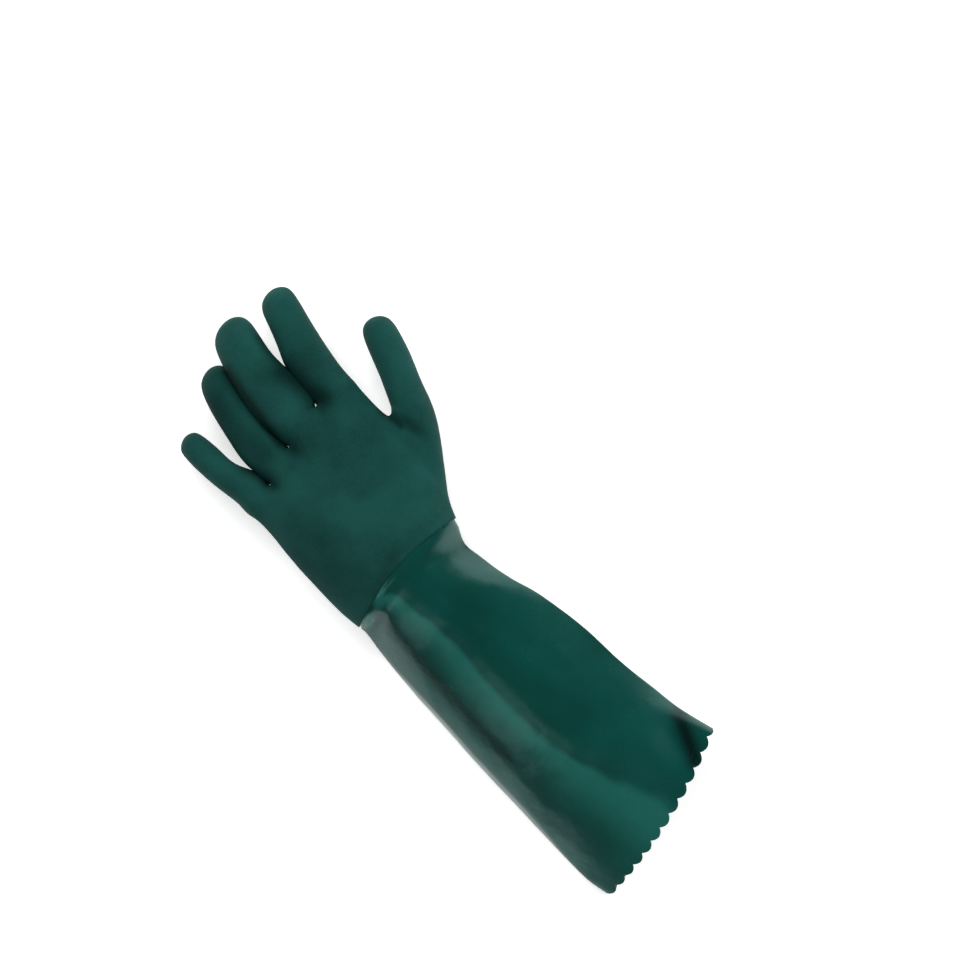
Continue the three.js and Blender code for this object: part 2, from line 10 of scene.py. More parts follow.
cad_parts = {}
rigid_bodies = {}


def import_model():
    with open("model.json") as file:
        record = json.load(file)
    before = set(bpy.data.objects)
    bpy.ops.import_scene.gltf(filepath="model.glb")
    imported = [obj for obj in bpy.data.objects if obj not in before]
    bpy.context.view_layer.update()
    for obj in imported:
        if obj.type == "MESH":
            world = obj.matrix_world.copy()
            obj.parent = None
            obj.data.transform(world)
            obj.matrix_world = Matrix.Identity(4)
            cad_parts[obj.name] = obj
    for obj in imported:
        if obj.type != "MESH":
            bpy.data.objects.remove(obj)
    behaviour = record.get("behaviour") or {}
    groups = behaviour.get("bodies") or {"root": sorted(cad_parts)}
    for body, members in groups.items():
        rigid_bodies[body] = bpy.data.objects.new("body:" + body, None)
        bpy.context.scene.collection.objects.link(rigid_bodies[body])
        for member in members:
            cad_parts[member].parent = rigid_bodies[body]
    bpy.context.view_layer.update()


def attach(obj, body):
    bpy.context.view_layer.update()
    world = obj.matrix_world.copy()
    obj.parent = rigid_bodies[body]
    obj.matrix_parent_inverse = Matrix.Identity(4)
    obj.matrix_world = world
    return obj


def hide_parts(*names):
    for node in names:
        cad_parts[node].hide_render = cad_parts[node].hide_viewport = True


bl_info = {
    "name": "Long PVC Work Glove",
    "version": (1, 0, 0),
    "blender": (4, 5, 0),
    "location": "View3D > Sidebar > Glove",
    "description": "Models a long coated work glove that lies palm down, and the stage it is shown on",
    "category": "Object",
}

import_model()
MM = 0.001

# Where the middle of the coating's edge lies in the part's frame
EDGE_MIDDLE = Vector((-19.0, 21.19, 0.0)) * MM

# Sections of the sleeve, from the coating's edge (along 0) to the cuff (along 1). flare goes from
# the wrist's sizes (0) to the cuff's (1). shift and slant are shares of the section's half width:
# how far its middle lies towards the thumb, and how far its thumb end runs towards the fingers.
# edge and thumb are the heights of the two side edges and top that of the crest, as shares of the
# depth, and crest is where the crest lies across. The arch goes from a round one (arched 0) to one
# that falls as a power of the way from the crest (arched 1): from top to base by the power little
# on the little finger's side, and to thumb by the power outer on the thumb's. On the little
# finger's side the arch is cut off by a flat facet, which starts turn above the edge, as a share
# of the depth, and rises facet for each millimetre inwards.
SLEEVE_COLUMNS = (
    "along flare shift slant edge base thumb top crest arched little outer turn facet"
)
SLEEVE_SECTIONS = [
    (0.0, 0.147, -0.034, 0.134, 0.36, 0.38, 0.42, 1.0, 0.0, 0.15, 2.6, 2.0, 0.1, 2.0),
    (0.05, -0.065, -0.1, 0.04, 0.2, 0.2, 0.25, 0.98, 0.079, 1.0, 2.7, 1.7, 0.01, 1.2),
    (0.1, 0.025, -0.085, 0.02, 0.12, 0.12, 0.28, 0.98, 0.1255, 1.0, 2.7, 1.7, 0.03, 1.45),
    (0.19, 0.218, -0.038, 0.0, 0.08, 0.13, 0.5, 0.98, 0.135, 1.0, 2.3, 2.4, 0.06, 1.8),
    (0.31, 0.467, 0.046, 0.06, 0.08, 0.234, 0.52, 0.98, 0.0, 1.0, 2.0, 2.4, 0.12, 1.95),
    (0.46, 0.669, 0.111, 0.045, 0.09, 0.256, 0.46, 0.98, -0.04, 1.0, 1.95, 2.0, 0.12, 2.05),
    (0.62, 0.759, 0.15, 0.08, 0.08, 0.229, 0.46, 0.99, -0.02, 1.0, 1.95, 2.0, 0.1, 2.05),
    (0.76, 0.856, 0.202, 0.17, 0.08, 0.222, 0.46, 1.0, 0.19, 1.0, 2.1, 2.0, 0.106, 1.9),
    (0.875, 0.935, 0.242, 0.24, 0.08, 0.1, 0.54, 1.0, 0.5, 1.0, 2.4, 2.1, 0.05, 2.2),
    (0.945, 1.0, 0.281, 0.305, 0.1, 0.11, 0.58, 1.0, 0.6, 1.0, 2.2, 1.8, 0.05, 3.0),
    (1.0, 1.0, 0.342, 0.335, 0.12, 0.12, 0.62, 0.99, 0.6, 1.0, 2.2, 1.8, 0.05, 3.0),
]

# Sections of the palm, from the coating's edge (along 0) to the roots of the fingers (along 1).
# spread goes from the wrist's sizes (0) to the palm's (1), side is the height of both side edges
# and floor that of the underside. fan goes from evenly spaced points across (0) to points that
# lie in line with the fingers (1).
PALM_COLUMNS = "along spread shift slant side top floor fan"
PALM_SECTIONS = [
    (0.0, 0.191, -0.034, 0.134, 0.44, 1.0, 0.0, 0.0),
    (0.15, 0.504, -0.009, 0.08, 0.44, 1.0, 0.0, 0.2),
    (0.34, 1.0, 0.077, 0.03, 0.44, 1.0, 0.0, 0.4),
    (0.54, 0.982, 0.068, 0.03, 0.45, 1.0, 0.0, 0.6),
    (0.76, 0.71, 0.028, 0.08, 0.48, 0.97, 0.04, 0.8),
    (0.91, 0.68, 0.0, 0.16, 0.52, 0.92, 0.1, 1.0),
]
THUMB_SECTION = 2  # the thumb grows out of the side between this section and two further on

# The fingers, from the little one. middle is where the root lies across the palm, and little_root
# and thumb_root how far along the palm its two sides are, in shares of the palm's half width and
# length. length, root_width, width and depth are shares of the middle finger's. lean is in degrees
# towards the thumb, bow the sideways curve, and rise, tip and arch are heights of the root, the
# tip and the curve between, as shares of the depth. Near its root a finger swells to meet its
# neighbours, by little_swell and thumb_swell of its width on the two sides, and further on by
# swell_on of that.
FINGER_COLUMNS = (
    "middle little_root thumb_root length lean bow root_width width depth rise tip arch"
    " little_swell thumb_swell swell_on"
)
FINGERS = [
    (-0.76, 0.9, 0.94, 0.747, -10.0, -0.06, 0.714, 0.614, 0.786, 1.0, 0.56, 0.1, 0.0, 0.22, 0.0),
    (-0.335, 0.95, 1.03, 0.923, 5.2, -0.19, 0.771, 0.743, 0.857, 1.02, 0.54, 0.1, 0.1, 0.07, 0.4),
    (0.15, 1.045, 1.11, 1.0, 5.2, -0.13, 0.93, 1.0, 1.0, 0.94, 0.56, 0.2, 0.04, 0.09, 1.0),
    (0.685, 1.115, 1.07, 0.945, 9.2, -0.09, 0.88, 0.829, 0.929, 0.96, 0.54, 0.14, 0.12, 0.0, 1.0),
]
THUMB = (1.23, 0.735, 0.735, 0.769, 17.2, 0.04, 1.0, 0.757, 1.0, 0.68, 0.5, 0.0, 0.0, 0.0, 0.0)

# Sections of every finger: how far along the shaft, from the root (0) to where the round tip starts
# (1), how wide and deep as a share of the finger's own, and turned towards the thumb by how many
# degrees. The thumb has one more, just before its root. The tip's section lies back from the tip, and
# the shaft ends back from the tip, both by a share of the finger's width.
SHAFT_SECTIONS = [(0.17, 1.0, 0.0), (0.46, 0.985, 0.0), (0.74, 0.975, 0.0), (1.0, 0.9, 0.0)]
THUMB_BASE_SECTION = (-0.07, 1.24, 36.0)
TIP_SECTION = (0.11, 0.6)
TIP_START = 0.42

# Over what width the facet turns down to the sleeve's edge, and how softly it meets the arch
FACET_TURN_WIDTH = 1.8 * MM
FACET_BLEND = 0.6 * MM

# The underside of a section goes from its side edges down to the floor: how early it reaches the
# floor (1 is only in the middle), and by what power its sides round off
UNDERSIDE_REACH = 1.12
UNDERSIDE_POWER = 3

# How fast the curve of the coating's edge fades along the sleeve and along the palm, how fast that
# of the cuff's edge does, and how much further the middle of a curve lies than its two ends
RIM_BOW_FADE_ON_SLEEVE = 8
RIM_BOW_FADE_ON_PALM = 5
CUFF_BOW_FADE = 6
BOW_MIDDLE = 1.4

# How many rings the sleeve has and how much closer together they lie near the wrist, where along
# the lap its hidden rings lie, its gap under the hand's wall at the coating's edge (further in it is
# twice that), and over what length it takes its full width below the edge
SLEEVE_RING_COUNT = 76
RING_CROWDING = 1.15
LAP_RINGS = (1.0, 0.5, 0.1)
LAP_GAP = 0.5 * MM
LAP_FADE = 4 * MM

# How many of the last rings are drawn out into scallops, how much of that is left to the very last
# (1 is an even share), and how full a scallop is (1 is a sine, and less is fuller)
SCALLOP_RING_COUNT = 4
SCALLOP_LATENESS = 1.5
SCALLOP_FULLNESS = 0.8

# Slow unevenness of both coatings: each row is how many waves there are in a metre, and how high
UNEVENNESS = [(34.0, 0.35 * MM), (91.8, 0.14 * MM)]
LEAST_UNEVEN_HEIGHT = 0.5 * MM

# Long soft folds. Each runs from one place to another, along and across as shares of the sleeve's or
# palm's length and half width. wide and end_wide are its widths at its two ends, as shares of the
# whole width, and lift is its height, as a share of the depth.
FOLD_COLUMNS = "along across end_along end_across wide end_wide lift"
SLEEVE_FOLDS = [
    (0.1, 0.2, 0.55, 0.55, 0.08, 0.14, -0.03),
]
HAND_FOLDS = [
    (1.03, -0.53, 0.84, -0.5, 0.035, 0.05, -0.045),
    (1.1, -0.07, 0.9, -0.12, 0.03, 0.05, -0.03),
    (1.18, 0.43, 0.96, 0.36, 0.03, 0.06, -0.04),
    (0.84, 0.97, 0.52, 1.12, 0.03, 0.05, -0.09),
]
HALF_WIDTHS_LONG = 3.0  # about how many half widths long the sleeve and the palm are
FOLD_END = 0.12  # the share of a fold's arc that is cut off at each end, so it doesn't fade out

# Painted shade: these strips and patches darken the coating where shade falls between the fingers,
# beside the thumb, on the ring finger, low on the back of the hand, and in the sleeve's valley and
# corner.
# Darker strips and patches: between the fingers, beside the thumb, on the ring finger, low on the
# back of the hand, and in the sleeve's valley and corner. Each runs from one place to another, in
# shares of the palm's length and half width or of the sleeve's length and half the cuff's. wide is a
# share of the whole width, and strength how much of the darker colour there is.
PAINTED_SHADE_COLUMNS = "along across end_along end_across wide strength"
HAND_PAINTED_SHADE = [
    (1.1, -0.63, 0.92, -0.52, 0.035, 0.7),
    (1.6, -0.08, 1.08, -0.16, 0.035, 0.85),
    (1.62, 0.457, 1.4, 0.43, 0.035, 0.7),
    (1.08, -0.16, 1.0, -0.08, 0.04, 0.5),
    (1.38, 0.4, 1.12, 0.53, 0.07, 0.8),
    (0.82, 0.97, 0.7, 1.01, 0.025, 0.8),
    (0.7, 1.01, 0.6, 1.08, 0.03, 0.25),
    (1.5, -0.42, 1.1, -0.36, 0.08, 0.4),
    (0.31, -0.6, 0.31, -0.6, 0.12, 0.35),
]
SLEEVE_PAINTED_SHADE = [
    (0.0, -0.56, 0.6, -0.5, 0.035, 0.7),
    (0.83, 1.17, 0.96, 0.99, 0.05, 1.0),
]

# A dent and a swelling at the sleeve's corner. along and length are shares of the sleeve's length,
# across and width of the section's half width, and lift of the cuff's depth.
DENT_COLUMNS = "along across length width lift"
SLEEVE_DENTS = [
    (0.93, 0.7, 0.08, 0.16, -0.2),
    (1.0, 0.98, 0.06, 0.1, 0.12),
]

# The sleeve's paler band is a painted highlight: it lies where the skin leans towards the little
# finger's side, the way a highlight falls. These are the leans where it starts, is full, starts to
# fade and has gone. Between two places along the sleeve the first two of them fall by the last
# number, so the band is wider near the cuff.
PAINTED_HIGHLIGHT_LEANS = (0.21, 0.31, 0.33, 0.62)
PAINTED_HIGHLIGHT_WIDENING = (0.68, 0.82, 0.07)
PAINTED_HIGHLIGHT_STRENGTH = 0.6

# A floor so wide that its edge never shows, and how far it lies under the glove
FLOOR_SIZE = 30.0
FLOOR_GAP = 0.4 * MM

# The middle of the picture, from the middle of the coating's edge, and how high over the floor the
# picture has its stated width
VIEW_MIDDLE = Vector((79.2, 19.2, 0.0)) * MM
VIEW_HEIGHT = 30 * MM
SENSOR_WIDTH = 36.0


def rows(columns, table):
    """Gives each row of a table its columns' names."""
    return [SimpleNamespace(**dict(zip(columns.split(), values))) for values in table]


def linear(hex_colour):
    """Turns an sRGB hex colour to the linear values that a shader takes."""
    channels = [int(hex_colour[i:i + 2], 16) / 255 for i in (1, 3, 5)]
    made = [c / 12.92 if c <= 0.04045 else ((c + 0.055) / 1.055) ** 2.4 for c in channels]
    return (*made, 1.0)


def size(name, mm, description):
    """A length that a user can set, in the scene's units."""
    return FloatProperty(name=name, description=description, default=mm * MM, min=0.0, unit="LENGTH")


def colour(name, hex_colour, description):
    """A colour that a user can set."""
    return FloatVectorProperty(
        name=name, description=description, default=linear(hex_colour), size=4, min=0.0, max=1.0,
        subtype="COLOR",
    )


class GloveSizes(bpy.types.PropertyGroup):
    """Sizes of the glove."""
    sleeve_length: size("Sleeve Length", 235.5, "Edge of the coating to the cuff")
    cuff_width: size("Cuff Width", 131.6, "Width of the sleeve at the cuff")
    cuff_depth: size("Cuff Depth", 54.0, "Height of the sleeve at the cuff as it lies")
    wrist_width: size("Wrist Width", 96.3, "Width of the sleeve at the wrist")
    wrist_depth: size("Wrist Depth", 44.0, "Height of the sleeve at the wrist")
    palm_length: size("Palm Length", 120.0, "Edge of the coating to the roots of the fingers")
    palm_width: size("Palm Width", 123.5, "Width of the palm across the base of the thumb")
    palm_depth: size("Palm Depth", 43.0, "Height of the palm as it lies")
    finger_length: size("Finger Length", 91.0, "Root to tip of the middle finger")
    finger_width: size("Finger Width", 35.0, "Width of the middle finger")
    finger_depth: size("Finger Depth", 28.0, "Height of the middle finger")
    hand_wall: size("Hand Wall", 1.4, "Thickness of the rough coated hand")
    rim_wall: size("Rim Wall", 0.9, "Thickness of the coating at its edge")
    sleeve_wall: size("Sleeve Wall", 1.1, "Thickness of the smooth sleeve")
    lap: size("Lap", 10.0, "Length of sleeve that lies inside the hand's wrist")
    rim_bow: size("Rim Bow", 8.0, "How far the coating's edge curves towards the fingers")
    cuff_bow: size("Cuff Bow", 5.0, "How far the cuff's edge curves away from the fingers")
    scallops: IntProperty(name="Scallops", description="Scallops round the cuff", default=26, min=3)
    scallop_depth: size("Scallop Depth", 3.4, "Depth of the pinked edge")


class GloveColours(bpy.types.PropertyGroup):
    """Colours of the two coatings, with their painted shade and painted highlight."""
    rough_light: colour("Rough Light", "#2a5f58", "Raised grains of the rough coating")
    rough_green: colour("Rough Green", "#1d4e49", "Main colour of the rough coating")
    rough_dark: colour("Rough Dark", "#143b37", "Darker clouds of the rough coating")
    # painted shade, mixed into the rough coating where shade falls
    rough_painted_shade: colour("Rough Painted Shade", "#081e1b", "Darker strips and patches of the rough coating")
    smooth_green: colour("Smooth Green", "#0b4640", "Main colour of the smooth coating")
    smooth_dark: colour("Smooth Dark", "#083a34", "Darker clouds of the smooth coating")
    # a painted highlight along the sleeve's shoulder
    smooth_painted_highlight: colour("Smooth Painted Highlight", "#257066", "Paler band along the sleeve's shoulder")
    # painted shade, mixed into the smooth coating where shade falls
    smooth_painted_shade: colour("Smooth Painted Shade", "#031512", "Darker strips of the smooth coating")


class GloveStage(bpy.types.PropertyGroup):
    """The floor, the lights and the camera."""
    view_width: size("View Width", 670.0, "Width of the picture at the glove")
    camera_height: size("Camera Height", 2600.0, "Height of the camera over the floor")
    turn: FloatProperty(
        name="Turn", description="How far the camera is turned over the glove",
        default=math.radians(-40.8), subtype="ANGLE",
    )
    light_power: FloatProperty(
        name="Light Power", description="Power that the lights take their shares of",
        default=160.0, min=0.0, unit="POWER",
    )
    floor_colour: colour("Floor Colour", "#fdfdfc", "Colour of the plain floor")


SLEEVE_ROWS = rows(SLEEVE_COLUMNS, SLEEVE_SECTIONS)
PALM_ROWS = rows(PALM_COLUMNS, PALM_SECTIONS)


def smooth_row(table, at):
    """Every column of a table of stations at a y between them, as a smooth curve."""
    i = 0
    while i < len(table) - 2 and at > table[i + 1].y:
        i += 1
    before, low = table[max(i - 1, 0)], table[i]
    high, after = table[i + 1], table[min(i + 2, len(table) - 1)]
    span = high.y - low.y
    t = min(max((at - low.y) / span, 0.0), 1.0)
    made = SimpleNamespace()
    for column in vars(low):
        a, b, c, d = (getattr(row, column) for row in (before, low, high, after))
        start_slope = (c - a) / (high.y - before.y) * span
        end_slope = (d - b) / (after.y - low.y) * span
        value = (
            (2 * t ** 3 - 3 * t ** 2 + 1) * b + (t ** 3 - 2 * t ** 2 + t) * start_slope
            + (3 * t ** 2 - 2 * t ** 3) * c + (t ** 3 - t ** 2) * end_slope
        )
        setattr(made, column, value)
    return made


def mix(a, b, t):
    """The value a share t of the way from a to b."""
    return a + (b - a) * t


def bell(x):
    """1 at 0, and softly falling to 0 on both sides."""
    return math.exp(-x * x)


def smooth_step(x, start, end):
    """0 before start, 1 after end, and a soft rise between."""
    t = min(max((x - start) / (end - start), 0.0), 1.0)
    return t * t * (3 - 2 * t)


def sleeve_station(sizes, row):
    """One cross-section of the sleeve in metres."""
    half = mix(sizes.wrist_width, sizes.cuff_width, row.flare) / 2
    depth = mix(sizes.wrist_depth, sizes.cuff_depth, row.flare)
    bow = sizes.rim_bow * bell(row.along * RIM_BOW_FADE_ON_SLEEVE)
    bow -= sizes.cuff_bow * bell((1 - row.along) * CUFF_BOW_FADE)
    return SimpleNamespace(
        y=-row.along * sizes.sleeve_length, middle=row.shift * half, half=half, slant=row.slant,
        bow=bow, edge=row.edge * depth, base=row.base * depth, thumb=row.thumb * depth,
        top=row.top * depth, floor=0.0, crest=row.crest, arched=row.arched, little=row.little,
        outer=row.outer, turn=row.turn * depth, facet=row.facet,
    )


def palm_station(sizes, row):
    """One cross-section of the palm in metres."""
    half = mix(sizes.wrist_width, sizes.palm_width, row.spread) / 2
    depth = mix(sizes.wrist_depth, sizes.palm_depth, row.spread)
    return SimpleNamespace(
        y=row.along * sizes.palm_length, middle=row.shift * half, half=half, slant=row.slant,
        bow=sizes.rim_bow * bell(row.along * RIM_BOW_FADE_ON_PALM), edge=row.side * depth,
        base=row.side * depth, thumb=row.side * depth, top=row.top * depth, floor=row.floor * depth,
        crest=0.0, arched=0.0, little=2.0, outer=2.0, turn=0.0, facet=0.0,
    )


def fold_lift(folds, along, across, depth):
    """How far the folds lift the surface at a place along and across."""
    total = 0.0
    for fold in folds:
        run = Vector((fold.end_along - fold.along, fold.end_across - fold.across))
        step = Vector((along - fold.along, across - fold.across))
        t = min(max(step.dot(run) / run.length_squared, 0.0), 1.0)
        off = step - run * t
        # a distance across is in half widths, so one along and the fold's own width are turned to them
        reach = mix(fold.wide, fold.end_wide, t) * 2
        distance = math.hypot(off.x * HALF_WIDTHS_LONG, off.y) / reach
        arc = math.sin(math.pi * mix(FOLD_END, 1 - FOLD_END, t))
        total += fold.lift * depth * bell(distance) * arc
    return total


def lower_of(a, b, blend):
    """The lower of two heights, with the corner between them rounded off."""
    low, gap = min(a, b), abs(a - b)
    return low - blend * math.log1p(math.exp(-gap / blend))


def section_point(station, across, is_top, lift=0.0):
    """A point on a section, across from its little-finger side (-1) to its thumb side (1)."""
    edge = mix(station.edge, station.thumb, (across + 1) / 2)
    if is_top:
        is_little = across < station.crest
        reach = 1 + station.crest if is_little else 1 - station.crest
        from_crest = abs(across - station.crest) / reach
        round_arc = math.sqrt(max(0.0, 1 - from_crest ** 2))
        power_arc = 1 - from_crest ** (station.little if is_little else station.outer)
        base = station.base if is_little else station.thumb
        fade = math.sqrt(math.sqrt(max(0.0, 1 - across * across)))
        z = base + (station.top - base) * mix(round_arc, power_arc, station.arched) + lift * fade
        if station.facet:
            inwards = (across + 1) * station.half
            turn = station.turn * (1 - math.exp(-inwards / FACET_TURN_WIDTH))
            z = lower_of(z, edge + turn + inwards * station.facet, FACET_BLEND)
    else:
        under = UNDERSIDE_REACH * math.sqrt(max(0.0, 1 - abs(across) ** UNDERSIDE_POWER))
        z = edge - (edge - station.floor) * min(1.0, under)
    y = station.y + station.slant * station.half * across
    y += station.bow * (BOW_MIDDLE - across * across)
    return Vector((station.middle + station.half * across, y, z))


def evenly(chain, count):
    """The first point of a chain and count - 1 more, spaced evenly along it."""
    lengths = [0.0]
    for a, b in zip(chain, chain[1:]):
        lengths.append(lengths[-1] + (b - a).length)
    points = []
    i = 1
    for k in range(count):
        wanted = lengths[-1] * k / count
        while lengths[i] < wanted:
            i += 1
        share = (wanted - lengths[i - 1]) / (lengths[i] - lengths[i - 1])
        points.append(chain[i - 1].lerp(chain[i], share))
    return points


def ring_round(station, count, inset=0.0, lift=lambda across: 0.0, steps=160):
    """A ring of points round a section: from its little-finger side over the top and back."""
    halves = []
    for is_top in (True, False):
        across = [-math.cos(math.pi * i / steps) for i in range(steps + 1)]
        lifts = [lift(a) if is_top else 0.0 for a in across]
        halves.append([section_point(station, a, is_top, up) for a, up in zip(across, lifts)])
    ring = evenly(halves[0], count // 2) + evenly(halves[1][::-1], count // 2)
    if not inset:
        return ring
    moved = []
    for i, point in enumerate(ring):
        tangent = ring[(i + 1) % count] - ring[i - 1]
        outwards = Vector((-tangent.z, 0.0, tangent.x)).normalized()
        moved.append(point - outwards * inset)
    return moved


def deselect_all():
    """Leaves nothing selected for the next operator to act on."""
    bpy.ops.object.select_all(action="DESELECT")


def finish_modifier(kind, **settings):
    """Adds a modifier to the active object, sets it and applies it."""
    piece = bpy.context.object
    modifier = piece.modifiers.new(kind.title(), kind)
    for name, value in settings.items():
        setattr(modifier, name, value)
    bpy.ops.object.modifier_apply(modifier=modifier.name)


def select_only(mesh, kind, wanted):
    """Selects the vertices, edges or faces of an edited mesh that pass a test, and no others."""
    bpy.ops.mesh.select_all(action="DESELECT")
    bpy.ops.mesh.select_mode(type=kind)
    edited = bmesh.from_edit_mesh(mesh)
    for element in {"VERT": edited.verts, "EDGE": edited.edges, "FACE": edited.faces}[kind]:
        if wanted(element):
            element.select_set(True)
    edited.select_flush_mode()
    bmesh.update_edit_mesh(mesh)


def extrude_onto(mesh, place):
    """Extrudes the selection and puts each new vertex where place says."""
    bpy.ops.mesh.extrude_region_move()
    edited = bmesh.from_edit_mesh(mesh)
    for vertex in edited.verts:
        if vertex.select:
            place(edited, vertex)
    bmesh.update_edit_mesh(mesh)


def limit_place(vertex):
    """Where a vertex of a cage lies on the smooth surface."""
    if vertex.is_boundary:
        ends = [edge.other_vert(vertex).co for edge in vertex.link_edges if edge.is_boundary]
        return (vertex.co * 4 + ends[0] + ends[1]) / 6
    n = len(vertex.link_edges)
    total = vertex.co * (n * n)
    for edge in vertex.link_edges:
        total += edge.other_vert(vertex).co * 4
    for face in vertex.link_faces:
        corners = list(face.verts)
        total += corners[(corners.index(vertex) + 2) % 4].co
    return total / (n * (n + 5))


def fit_cage(mesh, rounds=12):
    """Moves a cage until its smooth surface passes through where its vertices are now."""
    cage = bmesh.new()
    cage.from_mesh(mesh)
    wanted = [vertex.co.copy() for vertex in cage.verts]
    for _ in range(rounds):
        reached = [limit_place(vertex) for vertex in cage.verts]
        for vertex, target, place in zip(cage.verts, wanted, reached):
            vertex.co += target - place
    cage.to_mesh(mesh)
    cage.free()


# The nine spots of a finger's end: eight round it, from the little finger's side over the top, and
# one in the middle. GRID_PLACES has each spot by its column and its row in a grid of nine.
RING_ANGLES = [math.radians(a) for a in (135, 90, 45, 0, -45, -90, -135, 180)]
CENTRE = 8
GRID_PLACES = {
    (0, 2): 0, (1, 2): 1, (2, 2): 2,
    (0, 1): 7, (1, 1): CENTRE, (2, 1): 3,
    (0, 0): 6, (1, 0): 5, (2, 0): 4,
}
COLUMN_COUNT = len(FINGERS) * 3

# A vertex's place is its finger's number times PER_FINGER, and its spot. On a vertex that a finger
# has just grown from, LEFT_BEHIND stands for the number, and NO_PLACE is on all the others.
PER_FINGER = 10
LEFT_BEHIND = 1000
NO_PLACE = -1

CORNER = math.sqrt(0.5)  # how far out the corner spots of a root lie, at 45 degrees


def finger_place(centre, across, width, depth, place, little_swell=0.0, thumb_swell=0.0):
    """A point on the ring of a finger's section, or its middle."""
    if place == CENTRE:
        return centre.copy()
    sideways = math.cos(RING_ANGLES[place])
    swell = little_swell if sideways < 0 else thumb_swell
    point = centre + across * (width * sideways * (0.5 + swell))
    point.z = max(0.0, centre.z + depth / 2 * math.sin(RING_ANGLES[place]))
    return point


def heading(degrees):
    """The level direction that is turned by some degrees from the palm's towards the thumb."""
    angle = math.radians(degrees)
    return Vector((math.sin(angle), math.cos(angle), 0.0))


def in_metres(finger, sizes):
    """A finger's row with its sizes in metres, and the place and the slope of its root."""
    made = SimpleNamespace(**vars(finger))
    made.length *= sizes.finger_length
    made.root_width *= sizes.finger_width
    made.width *= sizes.finger_width
    made.depth *= sizes.finger_depth
    along = (finger.little_root + finger.thumb_root) / 2 * sizes.palm_length
    made.root = Vector((finger.middle * sizes.palm_width / 2, along, finger.rise * made.depth))
    made.slope = (finger.thumb_root - finger.little_root) * sizes.palm_length / made.root_width
    return made


def finger_sections(finger, base=()):
    """Centre, direction across, width and depth of each of a finger's sections, and its tip."""
    shaft = 1 - TIP_START * finger.width / finger.length
    places = [(along * shaft, girth, turn) for along, girth, turn in (*base, *SHAFT_SECTIONS)]
    places.append((1 - TIP_SECTION[0] * finger.width / finger.length, TIP_SECTION[1], 0.0))

    def centre(t):
        hump = 4 * t * (1 - t)
        point = finger.root + heading(finger.lean) * (finger.length * t)
        point += heading(finger.lean + 90) * (finger.bow * finger.width * hump)
        point.z = finger.depth * (mix(finger.rise, finger.tip, t) + finger.arch * hump)
        return point

    made = [
        (centre(t), heading(finger.lean + turn + 90), finger.width * girth, finger.depth * girth)
        for t, girth, turn in places
    ]
    return made, centre(1.0)


def grow_finger(mesh, number, finger, base=()):
    """Extrudes the four faces of a finger's root through its sections to its tip."""
    sections, tip = finger_sections(finger, base)
    for i, (centre, across, width, depth) in enumerate(sections):
        middle = tip if i == len(sections) - 1 else centre
        swell = {0: 1.0, 1: finger.swell_on}.get(i, 0.0)

        def on_patch(face):
            edited = bmesh.from_edit_mesh(mesh)
            layer = edited.verts.layers.int["place"]
            return all(vertex[layer] // PER_FINGER == number for vertex in face.verts)

        select_only(mesh, "FACE", on_patch)

        def place(edited, vertex):
            layer = edited.verts.layers.int["place"]
            spot = vertex[layer] % PER_FINGER
            vertex.co = finger_place(
                centre, across, width, depth, spot, finger.little_swell * swell,
                finger.thumb_swell * swell,
            )
            if spot == CENTRE:
                vertex.co = middle

        unmark_patch(mesh, number)
        extrude_onto(mesh, place)
        mark_patch(mesh, number)


def unmark_patch(mesh, number):
    """Takes a finger's number off the vertices that it grows from, so only its new end has it."""
    edited = bmesh.from_edit_mesh(mesh)
    place = edited.verts.layers.int["place"]
    for vertex in edited.verts:
        if vertex[place] // PER_FINGER == number:
            vertex[place] = LEFT_BEHIND + vertex[place] % PER_FINGER
    bmesh.update_edit_mesh(mesh)


def mark_patch(mesh, number):
    """Gives a finger's number to its selected new end."""
    edited = bmesh.from_edit_mesh(mesh)
    place = edited.verts.layers.int["place"]
    for vertex in edited.verts:
        if vertex[place] >= LEFT_BEHIND:
            spot = vertex[place] % PER_FINGER
            vertex[place] = number * PER_FINGER + spot if vertex.select else NO_PLACE
    bmesh.update_edit_mesh(mesh)


def wrinkle(mesh, folds=(), length=1.0, width=1.0, depth=1.0):
    """Presses folds into the top of a finished surface, and makes all that is off the floor uneven."""
    normals = [vertex.normal.copy() for vertex in mesh.vertices]
    for vertex, normal in zip(mesh.vertices, normals):
        x, y, z = vertex.co
        if normal.z > 0.0:
            lift = fold_lift(folds, y / length, x / (width / 2), depth)
            vertex.co.z += lift * smooth_step(normal.z, 0.0, 0.5)
        if z > LEAST_UNEVEN_HEIGHT:
            at = vertex.co.copy()
            vertex.co += normal * sum(noise.noise(at * waves) * high for waves, high in UNEVENNESS)
        vertex.co.z = max(0.0, vertex.co.z)


def mark_painted_shade(mesh, painted_shades, length, width):
    """Stores how much painted shade each vertex has, for the material to read."""
    painted_shade_share = mesh.attributes.new("painted_shade", "FLOAT", "POINT")
    for vertex, value in zip(mesh.vertices, painted_shade_share.data):
        at = Vector((vertex.co.x, vertex.co.y))
        for row in painted_shades:
            start = Vector((row.across * width / 2, row.along * length))
            run = Vector((row.end_across * width / 2, row.end_along * length)) - start
            # a round patch has no run, so its length is kept over nothing
            t = min(max((at - start).dot(run) / max(run.length_squared, 1e-9), 0.0), 1.0)
            share = row.strength * bell((at - start - run * t).length / (row.wide * width))
            value.value = max(value.value, share)


